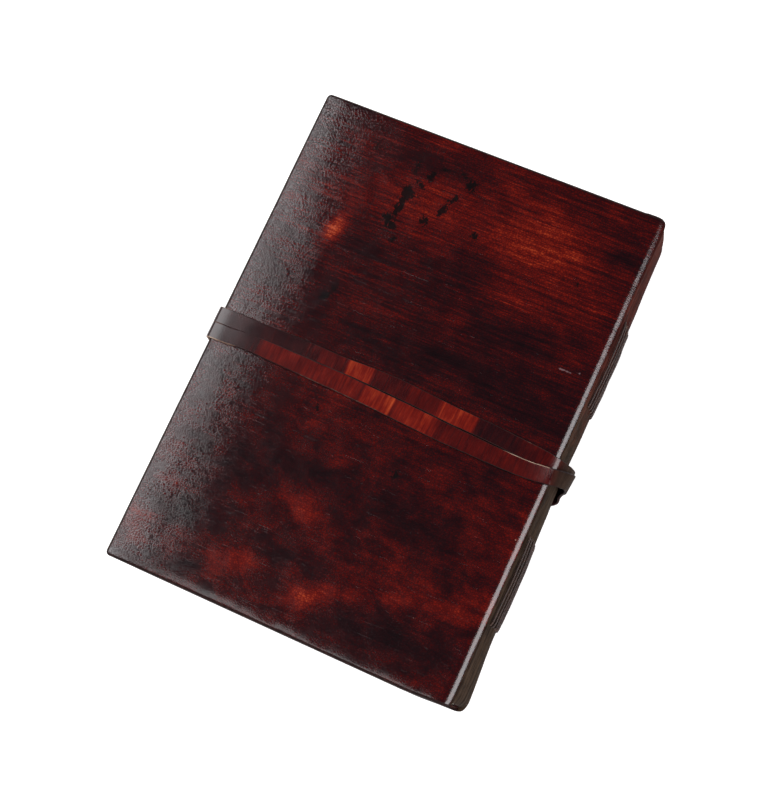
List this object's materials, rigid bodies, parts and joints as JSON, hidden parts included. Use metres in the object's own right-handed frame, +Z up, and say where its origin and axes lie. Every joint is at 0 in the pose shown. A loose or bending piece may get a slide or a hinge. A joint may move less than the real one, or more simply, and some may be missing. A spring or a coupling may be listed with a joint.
{
  "type": "sketchbook",
  "caption": "Leather-bound sketchbook with exposed long-stitch sewing on the spine, folded deckle-edged sheets and a leather strap wound round it.",
  "frame": {"origin": "centre of the footprint, on the table under the strap", "axes": "+X from the fore-edge to the spine, +Y from the tail to the head of the book, +Z up out of the front cover"},
  "size_m": [0.1358, 0.178, 0.0296],
  "materials": {
    "cover_leather": "satin",
    "strap_leather": "satin",
    "board": "matte",
    "lining_paper": "matte",
    "page_paper": "matte",
    "thread": "matte"
  },
  "bodies": {
    "back_cover": {"back_cover_leather": "cover_leather", "back_cover_board": "board", "back_cover_lining": "lining_paper"},
    "spine": {"spine_leather": "cover_leather", "spine_stitch_1_head": "thread", "spine_stitch_1_tail": "thread", "spine_stitch_2_head": "thread", "spine_stitch_2_tail": "thread", "spine_stitch_3_head": "thread", "spine_stitch_3_tail": "thread", "spine_stitch_4_head": "thread", "spine_stitch_4_tail": "thread", "spine_stitch_5_head": "thread", "spine_stitch_5_tail": "thread", "spine_stitch_6_head": "thread", "spine_stitch_6_tail": "thread"},
    "front_cover": {"front_cover_leather": "cover_leather", "front_cover_board": "board", "front_cover_lining": "lining_paper"},
    "strap": {"wrap_strap": "strap_leather"},
    "signature_1": {"signature_1_sheet_1": "page_paper", "signature_1_sheet_2": "page_paper", "signature_1_sheet_3": "page_paper", "signature_1_sheet_4": "page_paper", "signature_1_sheet_5": "page_paper", "fold_stitch_1": "thread"},
    "signature_2": {"signature_2_sheet_1": "page_paper", "signature_2_sheet_2": "page_paper", "signature_2_sheet_3": "page_paper", "signature_2_sheet_4": "page_paper", "signature_2_sheet_5": "page_paper", "fold_stitch_2": "thread"},
    "signature_3": {"signature_3_sheet_1": "page_paper", "signature_3_sheet_2": "page_paper", "signature_3_sheet_3": "page_paper", "signature_3_sheet_4": "page_paper", "signature_3_sheet_5": "page_paper", "fold_stitch_3": "thread"},
    "signature_4": {"signature_4_sheet_1": "page_paper", "signature_4_sheet_2": "page_paper", "signature_4_sheet_3": "page_paper", "signature_4_sheet_4": "page_paper", "signature_4_sheet_5": "page_paper", "fold_stitch_4": "thread"},
    "signature_5": {"signature_5_sheet_1": "page_paper", "signature_5_sheet_2": "page_paper", "signature_5_sheet_3": "page_paper", "signature_5_sheet_4": "page_paper", "signature_5_sheet_5": "page_paper", "fold_stitch_5": "thread"},
    "signature_6": {"signature_6_sheet_1": "page_paper", "signature_6_sheet_2": "page_paper", "signature_6_sheet_3": "page_paper", "signature_6_sheet_4": "page_paper", "signature_6_sheet_5": "page_paper", "fold_stitch_6": "thread"}
  },
  "joints": [
    {"name": "spine_fold", "type": "hinge", "parent": "back_cover", "child": "spine", "pos_m": [0.06, 0, 0.0018], "axis": [0, 1, 0], "range_deg": [0, 90], "deforming": ["wrap_strap"]},
    {"name": "cover_fold", "type": "hinge", "parent": "spine", "child": "front_cover", "pos_m": [0.06, 0, 0.02776], "axis": [0, 1, 0], "range_deg": [0, 90]},
    {"name": "signature_1_turn", "type": "hinge", "parent": "spine", "child": "signature_1", "pos_m": [0.06, 0, 0.02776], "axis": [0, 1, 0], "range_deg": [0, 87.3]},
    {"name": "signature_2_turn", "type": "hinge", "parent": "spine", "child": "signature_2", "pos_m": [0.06, 0, 0.02776], "axis": [0, 1, 0], "range_deg": [0, 83.7]},
    {"name": "signature_3_turn", "type": "hinge", "parent": "spine", "child": "signature_3", "pos_m": [0.06, 0, 0.02776], "axis": [0, 1, 0], "range_deg": [0, 79.2]},
    {"name": "signature_4_turn", "type": "hinge", "parent": "spine", "child": "signature_4", "pos_m": [0.06, 0, 0.0018], "axis": [0, 1, 0], "range_deg": [-79.2, 0]},
    {"name": "signature_5_turn", "type": "hinge", "parent": "spine", "child": "signature_5", "pos_m": [0.06, 0, 0.0018], "axis": [0, 1, 0], "range_deg": [-83.7, 0]},
    {"name": "signature_6_turn", "type": "hinge", "parent": "spine", "child": "signature_6", "pos_m": [0.06, 0, 0.0018], "axis": [0, 1, 0], "range_deg": [-87.3, 0]},
    {"name": "strap_slip", "type": "slide", "parent": "back_cover", "child": "strap", "axis": [0, -1, 0], "range_m": [0, 0.11]}
  ],
  "couplings": [
    {"joint": "cover_fold", "follows": "spine_fold", "ratio": 1},
    {"joint": "signature_1_turn", "follows": "spine_fold", "ratio": 0.97},
    {"joint": "signature_2_turn", "follows": "spine_fold", "ratio": 0.93},
    {"joint": "signature_3_turn", "follows": "spine_fold", "ratio": 0.88},
    {"joint": "signature_4_turn", "follows": "spine_fold", "ratio": -0.88},
    {"joint": "signature_5_turn", "follows": "spine_fold", "ratio": -0.93},
    {"joint": "signature_6_turn", "follows": "spine_fold", "ratio": -0.97}
  ]
}
